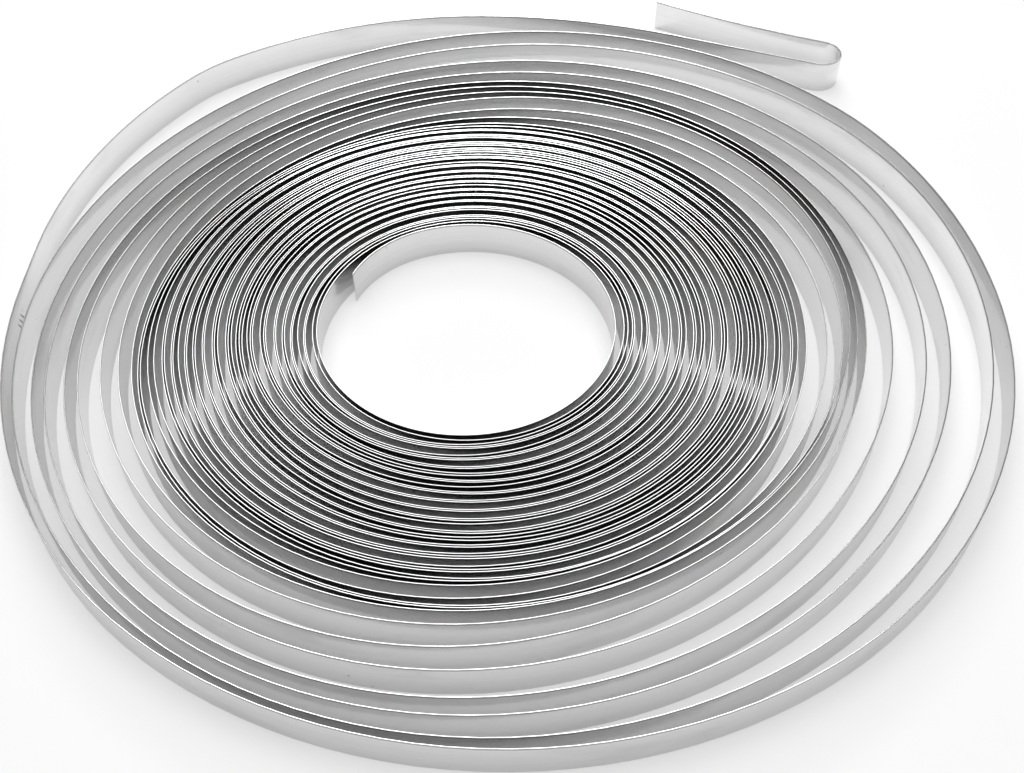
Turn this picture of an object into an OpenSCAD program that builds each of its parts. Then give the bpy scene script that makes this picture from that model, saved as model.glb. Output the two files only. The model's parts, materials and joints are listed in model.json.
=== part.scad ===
// Steel coil: one length of thin bright strip, wound on edge into a loose roll and lying flat.
// Millimetres, +Z up, floor at z = 0, bore axis on Z. Right is +X and back is +Y.

/* [Strip] */
// Width of the strip, which is the height of the coil
strip_width = 5; // [3:0.5:12]
// Thickness of the strip
strip_thickness = 0.15; // [0.1:0.05:0.3]

/* [Close turns] */
// Diameter of the bore inside the first turn
bore_diameter = 37.5; // [30:0.5:60]
// Clear space between one close turn and the next
turn_gap = 0.41; // [0.21:0.02:1.01]
// Turns from the bore to the loose part
close_turns = 38; // [10:1:45]
// Share of each close turn's growth that moves from its back and right to its front and left
close_lean = 0.025; // [0:0.005:0.05]
// How far round the first turn starts before the back of the bore, in degrees
inner_end = 60; // [20:5:80]

/* [Loose turns] */
// How far the loose turns have sprung open, where 1 is as found
looseness = 1; // [0.5:0.1:1.5]

/* [Shoulder] */
// Straight length at the left, where the outer end springs away from the coil
left_straight = 6.8; // [0:0.2:20]
// Inside radius from there to the back left
left_radius = 68; // [60:1:80]
// Inside radius of the shoulder at the back left
shoulder_radius = 25; // [15:1:60]
// Inside radius from there to the back
back_radius = 66; // [60:1:80]

/* [Tail] */
// Inside radius on which the outer end leaves the back of the coil
tail_radius = 92; // [70:1:110]
// Straight length between that arc and the hairpin bend
straight_leg = 23.5; // [5:0.5:40]
// Inside radius of the hairpin bend
bend_radius = 3.3; // [1:0.1:5]
// Length of the leg that is folded back
folded_leg = 29; // [10:1:60]
// Inside radius of that leg, which curves away from the coil
leg_radius = 180; // [100:10:400]

/* [Hidden] */
$fn = 180;
pitch = strip_thickness + turn_gap;
// Step from each loose turn to the next, from the inside out: at the back and right, then at the
// front and left. The coil has slumped, so the back and right stand open the most
openings = [
    [1.0, 0.8], [1.8, 0.8], [2.0, 0.8], [1.8, 1.2], [1.6, 1.6], [1.6, 2.0],
    [2.2, 2.0], [3.2, 2.6], [3.2, 1.6], [4.8, 3.0], [3.8, 1.8], [3.6, 1.6]
];
// The strip is a chain of quarter arcs, each tangent to the last. Arc 0 ends at the back of the bore,
// the loose arcs start at the front, and the last arc ends at the left, where the shoulder goes on
first_loose = 4 * close_turns + 3;
quarters = first_loose + 4 * len(openings) - 3;
// The shoulder and the tail turn by angles of triangles with whole sides, such as 3-4-5, so that their
// joints fall on short decimals
left_turn = asin(3 / 5);
shoulder_turn = asin(7 / 25);
tail_turn = asin(44 / 125);
// The folded leg turns by this much over its length
leg_turn = folded_leg / leg_radius * 180 / PI;
// Where the shoulder ends at the back, seen from where it starts
back_x = left_radius - (left_radius - shoulder_radius) * cos(left_turn)
    - (shoulder_radius - back_radius) * sin(left_turn);
back_y = left_straight + (left_radius - shoulder_radius) * sin(left_turn)
    + (shoulder_radius - back_radius) * cos(left_turn) + back_radius;

// Is the start of arc j at the front or the left?
function leads(j) = j % 4 == 3 || j % 4 == 0;

// Outward direction at the start of arc j: left, back, right, front, and left again
function side(j) = [[-1, 0], [0, 1], [1, 0], [0, -1]][j % 4];

// Growth at a turn's front or left moves the turn back and right, and the other way round
function close_growth(j) = pitch * (0.25 + (leads(j) ? close_lean : -close_lean));

// A growth opens its own side by nothing, the opposite side twice and the two between them once.
// So a turn that grows by a at its front and left and by b at its back and right opens by 3 a + b
// at the back and right, and by a + 3 b at the front and left
function loose_growth(j) =
    let (o = looseness * openings[floor((j - first_loose) / 4)])
    (leads(j) ? 3 * o[0] - o[1] : 3 * o[1] - o[0]) / 8;

// Growth of the radius at the start of arc j. The first turn keeps to the bore, then steps out over
// its own end: by its thickness from the front and by the clear space from the left
function growth(j) =
    j < 3 ? 0 :
    j == 3 ? strip_thickness :
    j == 4 ? turn_gap :
    j < first_loose ? close_growth(j) :
    loose_growth(j);

// Inside radius and centre of every arc
arcs = [
    for (j = 0, r = bore_diameter / 2, c = [0, 0];
         j < quarters;
         r = r + growth(j + 1), c = c - growth(j + 1) * side(j + 1), j = j + 1)
        [r, c]
];

// Standing strip bent on inside radius r about the Z axis, from angle a through sweep degrees
module bent_strip(r, a, sweep) {
    rotate([0, 0, a])
        rotate_extrude(angle = sweep)
            translate([r, 0])
                square([strip_thickness, strip_width]);
}

// Bent strip cut off by a square block, which is turned by the given angle
module cut_strip(r, a, turn, corner) {
    size = r + strip_width;
    difference() {
        bent_strip(r, a, 90);
        rotate([0, 0, turn])
            translate([corner.x * size, corner.y * size, -strip_width])
                cube([size, size, 3 * strip_width]);
    }
}

// The outer end springs away from the coil at the left and comes round to the back on three arcs
module shoulder() {
    translate([-strip_thickness, 0, 0])
        cube([strip_thickness, left_straight, strip_width]);
    translate([left_radius, left_straight, 0]) {
        cut_strip(left_radius, 90, 90 - left_turn, [0, 0]);
        translate((left_radius - shoulder_radius) * [-cos(left_turn), sin(left_turn), 0]) {
            rotate([0, 0, left_turn])
                cut_strip(shoulder_radius, 90, shoulder_turn, [-1, 0]);
            translate((shoulder_radius - back_radius) * [-sin(left_turn), cos(left_turn), 0])
                cut_strip(back_radius, 90, left_turn, [-1, 0]);
        }
    }
}

// From the back it leaves the coil on a wide arc, runs straight, turns back in a hairpin and ends in a
// leg that curves gently away from the coil
module tail() {
    bend_centre = tail_radius + strip_thickness + bend_radius;
    leg_centre = bend_centre + bend_radius + strip_thickness + leg_radius;
    translate([back_x, back_y - tail_radius, 0]) {
        cut_strip(tail_radius, 0, -tail_turn, [0, 0]);
        rotate([0, 0, -tail_turn]) {
            translate([0, tail_radius, 0])
                cube([straight_leg, strip_thickness, strip_width]);
            translate([straight_leg, bend_centre, 0])
                bent_strip(bend_radius, -90, 180);
            translate([straight_leg, leg_centre, 0])
                cut_strip(leg_radius, 180, -leg_turn, [-1, -1]);
        }
    }
}

module steel_strip() {
    last = arcs[quarters - 1];
    color([0.78, 0.78, 0.79])
        union() {
            bent_strip(arcs[0][0], 90, inner_end);
            for (j = [1 : quarters - 1])
                translate([arcs[j][1].x, arcs[j][1].y, 0])
                    bent_strip(arcs[j][0], 90 - 90 * (j % 4), 90);
            translate([last[1].x - last[0], last[1].y, 0]) {
                shoulder();
                tail();
            }
        }
}

steel_strip();
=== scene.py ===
import json
import math

import bpy
import numpy as np
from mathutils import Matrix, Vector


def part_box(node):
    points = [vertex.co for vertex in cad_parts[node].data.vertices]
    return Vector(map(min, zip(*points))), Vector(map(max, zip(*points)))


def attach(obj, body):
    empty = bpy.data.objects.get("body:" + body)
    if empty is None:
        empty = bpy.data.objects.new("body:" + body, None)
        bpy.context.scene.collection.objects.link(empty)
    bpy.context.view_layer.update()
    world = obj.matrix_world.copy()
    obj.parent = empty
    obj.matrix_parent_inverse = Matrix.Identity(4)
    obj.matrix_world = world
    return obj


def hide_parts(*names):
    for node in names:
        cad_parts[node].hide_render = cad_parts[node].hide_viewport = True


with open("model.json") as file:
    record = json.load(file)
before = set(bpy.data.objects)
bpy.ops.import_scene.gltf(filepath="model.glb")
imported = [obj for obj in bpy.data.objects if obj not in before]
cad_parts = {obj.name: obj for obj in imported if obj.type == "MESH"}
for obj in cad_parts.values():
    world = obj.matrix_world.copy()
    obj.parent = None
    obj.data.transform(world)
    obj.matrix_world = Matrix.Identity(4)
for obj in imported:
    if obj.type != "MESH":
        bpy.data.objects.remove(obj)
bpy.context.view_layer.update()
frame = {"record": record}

# The strip: one length of thin cold-rolled steel, plated bright and slit to width, wound on edge.
# It was wound round a former from the bore outwards, and its outer turns have sprung open since.
# Its outer end leaves the back of the coil and is folded back on itself in a hairpin.
strip_low, strip_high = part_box("steel_strip")
strip_width = strip_high[2] - strip_low[2]
strip_thickness = 0.00015
rolled_corner = 0.00004
bore_radius = next(m for m in frame["record"]["mounts"] if m["name"] == "bore")["dims"]["r_mm"] / 1000
turn_gap = 0.00041
close_turns = 38
close_lean = 0.025
inner_end = 60
openings = np.array([
    [1.0, 0.8], [1.8, 0.8], [2.0, 0.8], [1.8, 1.2], [1.6, 1.6], [1.6, 2.0],
    [2.2, 2.0], [3.2, 2.6], [3.2, 1.6], [4.8, 3.0], [3.8, 1.8], [3.6, 1.6]]) / 1000
rings_per_quarter = 32


def winding():
    """Centre line of the wound strip: points, outward normals and the number of turns at each ring.

    The line is a chain of quarter arcs, each tangent to the last: where an arc's radius grows, its
    centre moves the same distance away from the point where the two arcs meet. Growth at the front
    and left opens the back and right the most, and the other way round.
    """
    first_loose = 4 * close_turns + 3
    quarters = first_loose + 4 * len(openings) - 3
    arc = np.arange(quarters)
    leads = (arc % 4 == 3) | (arc % 4 == 0)
    close = (strip_thickness + turn_gap) * np.where(leads, 0.25 + close_lean, 0.25 - close_lean)
    far, near = openings[np.clip(arc - first_loose, 0, None) // 4].T
    loose = np.where(leads, 3 * far - near, 3 * near - far) / 8
    growth = np.where(arc < first_loose, close, loose)
    growth[:5] = 0, 0, 0, strip_thickness, turn_gap
    side = np.array([[-1, 0], [0, 1], [1, 0], [0, -1]])[arc % 4]
    radius = bore_radius + strip_thickness / 2 + np.cumsum(growth)
    centre = -np.cumsum(growth[:, None] * side, axis=0)
    start = 1 - inner_end / 90
    place = np.linspace(start, quarters, 1 + round((quarters - start) * rings_per_quarter))
    own_arc = np.minimum(place.astype(int), quarters - 1)
    angle = math.pi - place * math.pi / 2
    normal = np.column_stack([np.cos(angle), np.sin(angle)])
    return centre[own_arc] + radius[own_arc, None] * normal, normal, place / 4


points, normals, turns = winding()
arc_length = np.concatenate([[0], np.cumsum(np.linalg.norm(np.diff(points, axis=0), axis=1))])

# Close turns lie in twos and threes, with crescents open between them. The space outside a turn is the
# even space times a peaked wave, and a turn stands where the spaces inside it have put it
rings_per_turn = 4 * rings_per_quarter
pairs = 0.43 * turns + 0.12 * np.sin(2 * np.pi * (turns + 0.1)) + 0.20 * np.sin(2 * np.pi * turns / 9.3)
sharpness = 1.0 + 0.5 * np.exp(-turns / 7)
peaked = np.exp(sharpness * np.cos(2 * np.pi * pairs)) / np.i0(sharpness)
uneven = turn_gap * (peaked - 1) * np.clip(turns - 1, 0, 1) * np.clip(close_turns - turns, 0, 1)
whole_turns = np.pad(uneven, (0, -len(uneven) % rings_per_turn)).reshape(-1, rings_per_turn)
wander = np.pad(np.cumsum(whole_turns, axis=0).ravel(), (rings_per_turn, 0))[:len(turns)]
wander *= np.clip(1 - (turns - close_turns - 1) / 4, 0, 1)

# The strip's inner end has sprung a little way into the bore
flap_length = 0.014
flap_flare = 0.0012
wander -= flap_flare * np.clip(1 - arc_length / flap_length, 0, 1) ** 2

# The loose turns have slumped into an oval that lies from the back right to the front left. Each turn is
# also shoved a little sideways and backwards, and the last one keeps to the solid's box
angle = math.pi - 2 * np.pi * turns
oval = np.interp(
    turns, [37, 42, 48.4, 48.9, 49.15, 49.4, 49.5, 49.65, 49.87, 50],
    [0, 0.0015, 0.0015, 0.0009, 0.0015, 0.0015, 0, 0, 0.0007, 0])
sprung = np.interp(turns, [39, 42, 48.3, 48.8], [0, 0.0003, 0.0003, 0])
wander += sprung + oval * np.sin(2 * angle)
sideways = np.interp(
    turns, [39.5, 40.5, 41.3, 42, 43, 44, 44.6, 45, 45.5, 46, 46.5, 47, 47.5, 48, 48.5, 49, 49.35],
    [0, 0.0009, 0.0011, 0.0008, 0, -0.0006, -0.0010, -0.0009, 0, -0.0001, 0.0009, 0.0003, 0.0007, 0.0006,
     0.0015, 0.0003, 0])
backwards = np.interp(
    turns, [39, 39.75, 41.25, 41.75, 42.3, 44.25, 44.8, 45.75, 46.5, 47.75, 48.3, 49.2, 49.45],
    [0, -0.0007, -0.0006, 0, 0.0009, 0.0009, 0.0003, -0.0003, -0.0006, -0.0010, -0.0005, -0.0007, 0])
ease = np.hanning(rings_per_quarter + 3)[1:-1]
shove = np.column_stack([
    np.convolve(np.pad(run, rings_per_quarter // 2), ease / ease.sum(), "valid")
    for run in (sideways, backwards)])
points = points + wander[:, None] * normals + shove

# Outer end: it springs away at the left, comes round a shoulder to the back, leaves the coil on a wide
# arc, runs straight, and turns back in a hairpin into a leg that curves away again
half = strip_thickness / 2
left_straight, straight_leg, folded_leg = 0.0068, 0.0235, 0.029
left_radius, shoulder_radius, back_radius = 0.068, 0.025, 0.066
tail_radius, bend_radius, leg_radius = 0.092, 0.0033, 0.180
left_turn, shoulder_turn, tail_turn = math.asin(3 / 5), math.asin(7 / 25), math.asin(44 / 125)
leg_turn = folded_leg / leg_radius
outer_end = (
    (left_straight, 0.0, 6),
    ((left_radius + half) * left_turn, -left_turn, 24),
    ((shoulder_radius + half) * shoulder_turn, -shoulder_turn, 10),
    ((back_radius + half) * left_turn, -left_turn, 24),
    ((tail_radius + half) * tail_turn, -tail_turn, 20),
    (straight_leg, 0.0, 12),
    ((bend_radius + half) * math.pi, math.pi, 40),
    ((leg_radius + half) * leg_turn, -leg_turn, 16))


def onward(point, normal, run, turned, rings):
    """The path goes on from a point for a run, and turns evenly by an angle, positive to the left: on an
    arc each ring lies off the centre by its own normal, and with no turn the run is straight."""
    heading = math.atan2(normal[1], normal[0]) + np.linspace(0, turned, rings + 1)[1:]
    ring_normals = np.column_stack([np.cos(heading), np.sin(heading)])
    if turned:
        return point + run / turned * (normal - ring_normals), ring_normals
    ahead = np.array([normal[1], -normal[0]])
    return point + np.linspace(0, run, rings + 1)[1:, None] * ahead, ring_normals


path, path_normals = points, normals
for run, turned, rings in outer_end:
    further, further_normals = onward(path[-1], path_normals[-1], run, turned, rings)
    path = np.vstack([path, further])
    path_normals = np.vstack([path_normals, further_normals])
length = np.concatenate([[0], np.cumsum(np.linalg.norm(np.diff(path, axis=0), axis=1))])

profile = np.array([
    [half, rolled_corner], [half, strip_width - rolled_corner],
    [half - rolled_corner, strip_width], [rolled_corner - half, strip_width],
    [-half, strip_width - rolled_corner], [-half, rolled_corner],
    [rolled_corner - half, 0], [half - rolled_corner, 0]])


def swept(path, path_normals, profile):
    """Profile carried along a path: across it by its normal, and upwards along Z."""
    across = path[:, None, :] + profile[None, :, :1] * path_normals[:, None, :]
    height = np.broadcast_to(profile[None, :, 1:], across.shape[:2] + (1,))
    return np.concatenate([across, height], axis=2).reshape(-1, 3)


def strip_mesh(name, vertices, length, profile):
    """Closed tube of quads from rings of vertices, with flat ends and sharp lengthwise edges. Its map
    has the length along the strip in u and the distance round the profile in v, in metres."""
    rings, sides = len(length), len(profile)
    ring = np.arange(rings - 1)[:, None] * sides
    k = np.arange(sides)[None, :]
    after = (k + 1) % sides
    quads = np.stack([ring + k, ring + after, ring + sides + after, ring + sides + k], axis=2)
    first_end = tuple(range(sides - 1, -1, -1))
    last_end = tuple(range((rings - 1) * sides, rings * sides))
    mesh = bpy.data.meshes.new(name)
    mesh.from_pydata(vertices.tolist(), [], quads.reshape(-1, 4).tolist() + [first_end, last_end])
    mesh.update()
    ends = np.empty(2 * len(mesh.edges), np.int32)
    mesh.edges.foreach_get("vertices", ends)
    ends = ends.reshape(-1, 2)
    lengthwise = np.abs(ends[:, 0] - ends[:, 1]) == sides
    at_end = (ends.max(axis=1) < sides) | (ends.min(axis=1) >= (rings - 1) * sides)
    sharp = mesh.attributes.new("sharp_edge", "BOOLEAN", "EDGE")
    sharp.data.foreach_set("value", lengthwise | at_end)
    round_profile = np.concatenate([[0], np.cumsum(np.linalg.norm(
        np.roll(profile, -1, axis=0) - profile, axis=1))])
    u = np.stack([length[:-1], length[:-1], length[1:], length[1:]], axis=1)[:, None, :]
    near, far = round_profile[:-1], round_profile[1:]
    v = np.stack([near, far, far, near], axis=1)[None]
    quad_map = np.stack(np.broadcast_arrays(u, v), axis=3).reshape(-1, 2)
    first_map = np.column_stack([np.full(sides, length[0]), near[::-1]])
    last_map = np.column_stack([np.full(sides, length[-1]), near])
    strip_map = mesh.uv_layers.new(name="strip")
    strip_map.data.foreach_set("uv", np.vstack([quad_map, first_map, last_map]).ravel())
    face, edge, corner = 0, 1, 2
    finish = np.concatenate([np.tile([face, corner, edge, corner] * 2, rings - 1), [edge, edge]])
    mesh.polygons.foreach_set("material_index", finish.astype(np.int32))
    mesh.shade_smooth()
    return mesh


vertices = swept(path, path_normals, profile)
mesh = strip_mesh("steel_strip_wound", vertices, length, profile)
strip = bpy.data.objects.new("steel_strip_wound", mesh)
bpy.context.collection.objects.link(strip)


class Wire:
    """An output of a shader node. Arithmetic on wires adds Math nodes to the same tree."""

    def __init__(self, tree, socket=None):
        self.tree = tree
        self.socket = socket

    def node(self, kind, settings, inputs, output=0):
        """New node: its settings are set first, then each of its inputs takes a wire or a value."""
        made = self.tree.nodes.new("ShaderNode" + kind)
        for name, value in settings.items():
            setattr(made, name, value)
        for name, value in inputs.items():
            if isinstance(value, Wire):
                self.tree.links.new(value.socket, made.inputs[name])
            else:
                made.inputs[name].default_value = value
        return Wire(self.tree, made.outputs[output])

    def math(self, operation, first, second):
        return self.node("Math", {"operation": operation}, {0: first, 1: second})

    def __add__(self, other):
        return self.math("ADD", self, other)

    def __radd__(self, other):
        return self.math("ADD", other, self)

    def __sub__(self, other):
        return self.math("SUBTRACT", self, other)

    def __rsub__(self, other):
        return self.math("SUBTRACT", other, self)

    def __mul__(self, other):
        return self.math("MULTIPLY", self, other)

    def __rmul__(self, other):
        return self.math("MULTIPLY", other, self)


def ramped(value, low, high, to_low=0.0, to_high=1.0):
    """Smooth step of a value from one range to another."""
    return value.node("MapRange", {"interpolation_type": "SMOOTHSTEP"}, {
        "Value": value, "From Min": low, "From Max": high, "To Min": to_low, "To Max": to_high})


def grey(tone):
    """Neutral colour of a tone."""
    return tone.node("CombineColor", {}, {"Red": tone, "Green": tone, "Blue": tone})


def strip_finish(name):
    """New metal finish, with wires for the length along the strip and the way round its profile."""
    finish = bpy.data.materials.new(name)
    finish.use_nodes = True
    finish.node_tree.nodes["Principled BSDF"].inputs["Metallic"].default_value = 1
    strip_uv = Wire(finish.node_tree).node("UVMap", {"uv_map": "strip"}, {})
    along = strip_uv.node("SeparateXYZ", {}, {"Vector": strip_uv}, output=0)
    around = strip_uv.node("SeparateXYZ", {}, {"Vector": strip_uv}, output=1)
    mesh.materials.append(finish)
    return finish, along, around


def feed(finish, socket, wire):
    """Link a wire to a socket of a finish's shader."""
    finish.node_tree.links.new(wire.socket, finish.node_tree.nodes["Principled BSDF"].inputs[socket])


def strip_noise(along, around, along_scale, around_scale, detail, seed):
    """Noise on the strip's own map, stretched along and across it, from 0 to 1."""
    place = along.node("CombineXYZ", {}, {"X": along * along_scale, "Y": around * around_scale, "Z": seed})
    return along.node("TexNoise", {"noise_dimensions": "3D"}, {
        "Vector": place, "Scale": 1.0, "Detail": detail, "Roughness": 0.55})


# Plated face: bright and neutral, with faint rolling lines along it, finger smudges and a few specks. A
# dark hairline of painted shade runs under the upper edge, for the dark surround that the rounded corner
# mirrors, and three nicks stand on the inside of the last turn.
plated, along, around = strip_finish("bright_plated_face")
rolling_lines = strip_noise(along, around, 12, 5200, 2.0, 1.7)
smudges = ramped(strip_noise(along, around, 55, 240, 3.0, 5.1), 0.52, 0.72)
specks_per_metre = 420
speck_place = along.node("CombineXYZ", {}, {
    "X": along * specks_per_metre, "Y": around * specks_per_metre, "Z": 0.0})
speck_cells = {"voronoi_dimensions": "2D", "feature": "F1"}
speck_inputs = {"Vector": speck_place, "Scale": 1.0, "Randomness": 1.0}
speck_distance = along.node("TexVoronoi", speck_cells, speck_inputs)
speck_draw = along.node("TexVoronoi", speck_cells, speck_inputs, output=1)
picked = ramped(along.node("SeparateColor", {}, {"Color": speck_draw}), 0.988, 0.992)
specks = (1 - ramped(speck_distance, 0.03, 0.08)) * picked
object_place = along.node("TexCoord", {}, {}, output="Object")
height = along.node("SeparateXYZ", {}, {"Vector": object_place}, output=2)
# Painted shade: a dark band on the face just under the upper edge, for the dark surround that the rounded
# corner mirrors
painted_edge_shade = ramped(height, strip_width - 0.00032, strip_width - 0.00020)
nick_count, nick_space, nick_slant = 3, 0.0009, 0.5
nick_run = along - (length[len(points) - 1] - 0.0050)
nick_wave = along.math("PINGPONG", nick_run + nick_slant * height, nick_space / 2)
inner_face = along.math("GREATER_THAN", around, strip_width)
nicks = (ramped(nick_wave, 0.00030, 0.00036) * inner_face
         * along.math("GREATER_THAN", nick_run, 0.0)
         * along.math("LESS_THAN", nick_run, nick_count * nick_space)
         * ramped(height, 0.0014, 0.0018) * ramped(height, 0.0024, 0.0031, 1.0, 0.0))
# The face's tone holds its real marks and also the painted edge shade
plate_tone_and_edge_shade = (0.74 + 0.08 * rolling_lines - 0.06 * smudges - 0.30 * specks
              - 0.30 * painted_edge_shade - 0.68 * nicks)
waves = strip_noise(along, around, 150, 160, 1.0, 9.3)
feed(plated, "Base Color", grey(plate_tone_and_edge_shade))
feed(plated, "Roughness", 0.07 + 0.10 * rolling_lines + 0.10 * smudges + 0.30 * specks)
feed(plated, "Normal", along.node("Bump", {}, {"Strength": 1.0, "Distance": 0.000006, "Height": waves}))

# Slit edge: bare bright steel, left finely grained by the slitting knives.
slit, along, around = strip_finish("slit_edge")
knife_grain = strip_noise(along, around, 900, 9000, 2.0, 3.3)
feed(slit, "Base Color", grey(0.70 + 0.16 * knife_grain))
feed(slit, "Roughness", 0.13 + 0.12 * knife_grain)

# Rolled corner: where the knives drew the edge over, beside the slit edge. It is rougher than the face,
# and its colour is painted dark, a painted shade for the dark surround that the rounded corner mirrors.
rolled, along, around = strip_finish("rolled_corner")
drawn_grain = strip_noise(along, around, 400, 9000, 2.0, 7.9)
# Painted shade: the corner's colour is kept dark so that a dark line shows beside each edge
feed(rolled, "Base Color", grey(0.22 + 0.16 * drawn_grain))
rolled.node_tree.nodes["Principled BSDF"].inputs["Roughness"].default_value = 0.3

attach(strip, "root")
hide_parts("steel_strip")

# Stage: a plain white floor. Part of its white is its own, and the rest is lit, so it keeps the coil's
# shadow, most of all between the close turns, where little light comes down to it.
floor_mesh = bpy.data.meshes.new("floor")
half_floor = 2
floor_corners = [
    (-half_floor, -half_floor, 0), (half_floor, -half_floor, 0),
    (half_floor, half_floor, 0), (-half_floor, half_floor, 0)]
floor_mesh.from_pydata(floor_corners, [], [(0, 1, 2, 3)])
floor = bpy.data.objects.new("floor", floor_mesh)
bpy.context.collection.objects.link(floor)
pale = bpy.data.materials.new("white_floor")
pale.use_nodes = True
wires = Wire(pale.node_tree)
floor_place = wires.node("TexCoord", {}, {}, output="Object")
from_axis = wires.node("VectorMath", {"operation": "LENGTH"}, {0: floor_place}, output="Value")
between_turns = ramped(from_axis, 0.0185, 0.0200) * ramped(from_axis, 0.0400, 0.0460, 1.0, 0.0)
viewed = wires.node("LightPath", {}, {}, output="Is Camera Ray")
mirrored = (wires.node("LightPath", {}, {}, output="Is Glossy Ray")
            + wires.node("LightPath", {}, {}, output="Is Transmission Ray"))
open_floor = ramped(from_axis, 0.09, 0.40)
seen = ((0.45 + 0.55 * open_floor) * viewed
        + (0.18 + 0.40 * open_floor) * mirrored * (1 - 0.9 * between_turns))
paper = wires.node("BsdfDiffuse", {}, {"Color": (0.92, 0.92, 0.92, 1)})
white = wires.node("Emission", {}, {"Color": (1, 1, 1, 1), "Strength": 1.0})
floor_look = wires.node("MixShader", {}, {0: seen, 1: paper, 2: white})
pale.node_tree.links.new(floor_look.socket, pale.node_tree.nodes["Material Output"].inputs["Surface"])
floor_mesh.materials.append(pale)

# Light: a dim surround above a white backdrop, a wide soft box behind the coil and a brighter one low
# behind it, which the edges mirror, a third one overhead, which reaches down between the turns, and a weak
# one in front. The backdrop is there for the camera and in mirrors, and doesn't light the coil.
world = bpy.data.worlds.new("surround")
world.use_nodes = True
surround = world.node_tree.nodes["Background"]
surround.inputs["Color"].default_value = (1, 1, 1, 1)
wires = Wire(world.node_tree)
rise_of_view = wires.node(
    "SeparateXYZ", {}, {"Vector": wires.node("TexCoord", {}, {}, output="Generated")}, output=2)
looked_at = (wires.node("LightPath", {}, {}, output="Is Camera Ray")
             + wires.node("LightPath", {}, {}, output="Is Glossy Ray")
             + wires.node("LightPath", {}, {}, output="Is Transmission Ray"))
surround_level = 0.15 + 0.85 * looked_at * ramped(rise_of_view, 0.42, 0.55, 1.0, 0.0)
world.node_tree.links.new(surround_level.socket, surround.inputs["Strength"])
bpy.context.scene.world = world
for name, wide, tall, across, rise, brightness in (
        ("wide_soft_box", 0.60, 0.52, -0.045, 47, 2.2),
        ("low_soft_box", 0.34, 0.16, 0, 33, 7.0),
        ("overhead_soft_box", 0.80, 0.50, 0, 80, 2.9),
        ("front_soft_box", 0.80, 0.30, 0, 125, 1.5)):
    distance = 0.8
    tilt = math.radians(rise)
    lamp = bpy.data.lights.new(name, "AREA")
    lamp.shape = "RECTANGLE"
    lamp.size = wide
    lamp.size_y = tall
    lamp.energy = brightness * math.pi * wide * tall
    box = bpy.data.objects.new(name, lamp)
    box.location = (across, distance * math.cos(tilt), distance * math.sin(tilt))
    box.rotation_euler = (tilt - math.pi / 2, 0, 0)
    bpy.context.collection.objects.link(box)

# Camera: above and in front, at the photograph's angle and distance.
lens = bpy.data.cameras.new("camera")
lens.lens = 42.07
lens.sensor_width = 36
lens.clip_start = 0.01
camera = bpy.data.objects.new("camera", lens)
camera.location = (0.00573, -0.10803, 0.11212)
looking_down = 0.836
camera.rotation_euler = (math.pi / 2 - looking_down, 0, 0)
bpy.context.collection.objects.link(camera)
bpy.context.scene.camera = camera
bpy.context.scene.view_settings.view_transform = "Standard"
